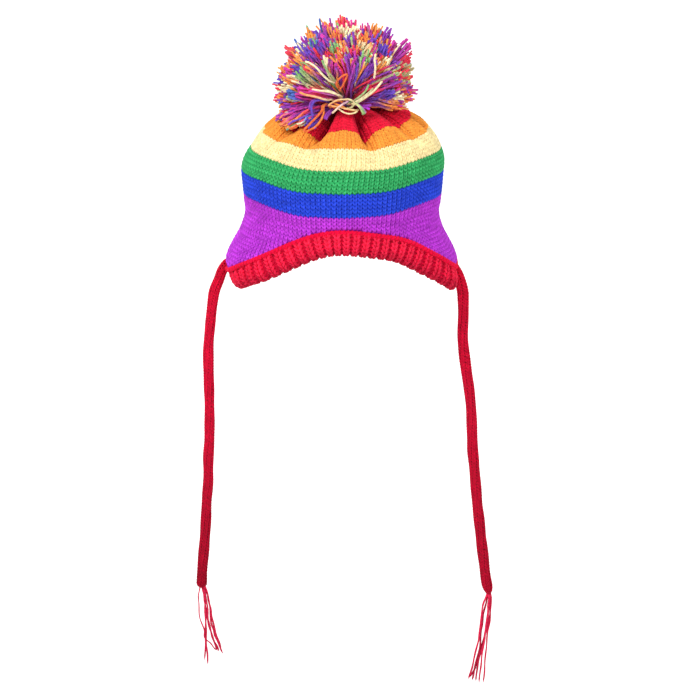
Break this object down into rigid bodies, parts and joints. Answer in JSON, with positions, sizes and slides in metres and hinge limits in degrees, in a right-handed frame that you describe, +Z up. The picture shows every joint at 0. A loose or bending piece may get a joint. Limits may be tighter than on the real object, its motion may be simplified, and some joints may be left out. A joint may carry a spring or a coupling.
{
  "type": "knitted pompom hat with tie cords",
  "caption": "Small striped knitted hat with a gathered crown, a ribbed arched band that dips to two ear points, a yarn pompom and two hanging tie cords with loose yarn ends",
  "frame": {"origin": "middle of the head opening, level with the lower edge of the ribbed band at its front arch", "axes": "+Z up to the pompom, the front of the hat faces -Y, +X to the right as seen from the front"},
  "size_m": [0.2164, 0.1452, 0.4942],
  "materials": {
    "crown": "matt knitted yarn, striped from the edge up in purple, blue, green, pale yellow, orange and red",
    "band": "matt red ribbed knit",
    "pompom": "matt cut yarn in purple, red, orange, pale yellow, green and blue",
    "pompom_tie": "matt yarn",
    "tie_left": "matt red knitted cord",
    "tie_right": "matt red knitted cord",
    "fringe_left": "matt red yarn",
    "fringe_right": "matt red yarn"
  },
  "bodies": {
    "root": {"crown": "crown", "band": "band", "pompom": "pompom", "pompom_tie": "pompom_tie", "tie_left": "tie_left", "tie_right": "tie_right", "fringe_left": "fringe_left", "fringe_right": "fringe_right"}
  },
  "joints": []
}
